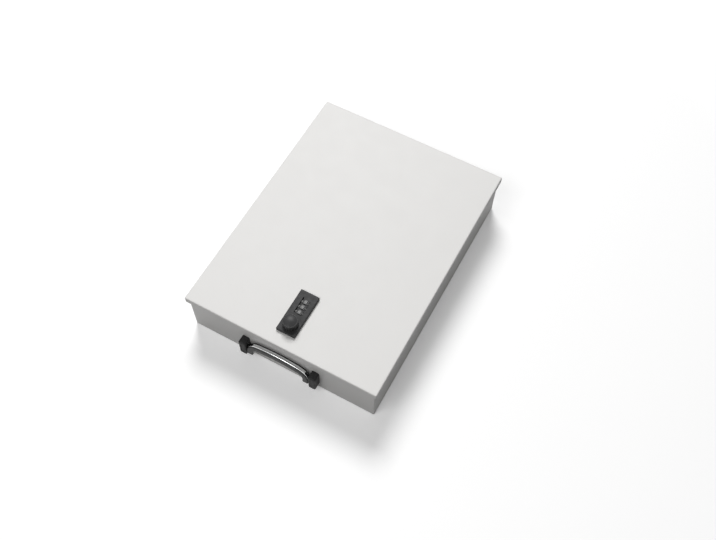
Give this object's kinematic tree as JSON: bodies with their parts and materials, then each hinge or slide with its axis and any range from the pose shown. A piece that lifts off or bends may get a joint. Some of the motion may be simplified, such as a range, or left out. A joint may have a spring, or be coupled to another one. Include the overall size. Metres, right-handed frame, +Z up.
{
  "type": "lockable document box",
  "caption": "Flat steel document box with a hinged overlapping lid, a combination lock with a turning knob in the lid, and a folding carrying handle on the front.",
  "frame": {"origin": "middle of the flat underside of the body", "axes": "+Z up, -Y towards the front wall with the handle, +X to the right as seen from the front"},
  "size_m": [0.28, 0.3792, 0.0908],
  "materials": {
    "powder_coat": "fine-textured light grey powder coat",
    "zinc_steel": "zinc-plated, satin",
    "black_casting": "satin dark grey to black coat on a zinc casting",
    "dial_plastic": "moulded, satin, pale digits",
    "brass": "machined, bare",
    "chrome": "bright chrome-plated strip",
    "black_plastic": "moulded, fine grain, satin"
  },
  "bodies": {
    "box": {"base_tray": "powder_coat", "strike_plate": "zinc_steel", "hinge_leaf_base": "zinc_steel", "hinge_pin": "zinc_steel", "handle_mount_left": "black_plastic", "handle_mount_right": "black_plastic", "handle_pin_left": "zinc_steel", "handle_pin_right": "zinc_steel", "handle_washer_1": "zinc_steel", "handle_washer_2": "zinc_steel", "handle_washer_3": "zinc_steel", "handle_washer_4": "zinc_steel", "handle_screw_1": "zinc_steel", "handle_screw_2": "zinc_steel", "handle_screw_3": "zinc_steel", "handle_screw_4": "zinc_steel"},
    "lid": {"lid_tray": "powder_coat", "hinge_leaf_lid": "zinc_steel", "lock_housing": "black_casting", "lock_back_cover": "zinc_steel", "lock_clamp": "zinc_steel", "lock_screw_front": "zinc_steel", "lock_screw_rear": "zinc_steel", "dial_shaft": "zinc_steel", "dial_spring": "zinc_steel"},
    "knob": {"lock_knob": "black_casting", "lock_cam": "zinc_steel", "cam_washer": "zinc_steel", "cam_nut": "zinc_steel"},
    "dial_wheel_1": {"dial_1": "dial_plastic", "dial_sleeve_1": "brass"},
    "dial_wheel_2": {"dial_2": "dial_plastic", "dial_sleeve_2": "brass"},
    "dial_wheel_3": {"dial_3": "dial_plastic", "dial_sleeve_3": "brass"},
    "bar": {"blocking_bar": "brass"},
    "handle": {"handle_grip": "black_plastic", "handle_trim": "chrome"}
  },
  "joints": [
    {"name": "lid_hinge", "type": "hinge", "parent": "box", "child": "lid", "pos_m": [0, 0.1837, 0.0638], "axis": [-1, 0, 0], "range_deg": [0, 180]},
    {"name": "knob_turn", "type": "hinge", "parent": "lid", "child": "knob", "pos_m": [0, -0.1527, 0.075], "axis": [0, 0, -1], "range_deg": [0, 90]},
    {"name": "dial_1_turn", "type": "hinge", "parent": "lid", "child": "dial_wheel_1", "pos_m": [0.0015, -0.1331, 0.0726], "axis": [0, 1, 0], "continuous": true},
    {"name": "dial_2_turn", "type": "hinge", "parent": "lid", "child": "dial_wheel_2", "pos_m": [0.0015, -0.1252, 0.0726], "axis": [0, 1, 0], "continuous": true},
    {"name": "dial_3_turn", "type": "hinge", "parent": "lid", "child": "dial_wheel_3", "pos_m": [0.0015, -0.1173, 0.0726], "axis": [0, 1, 0], "continuous": true},
    {"name": "bar_slide", "type": "slide", "parent": "lid", "child": "bar", "axis": [1, 0, 0], "range_m": [0, 0.001]},
    {"name": "handle_fold", "type": "hinge", "parent": "box", "child": "handle", "pos_m": [0, -0.1887, 0.025], "axis": [1, 0, 0], "range_deg": [0, 186]}
  ]
}
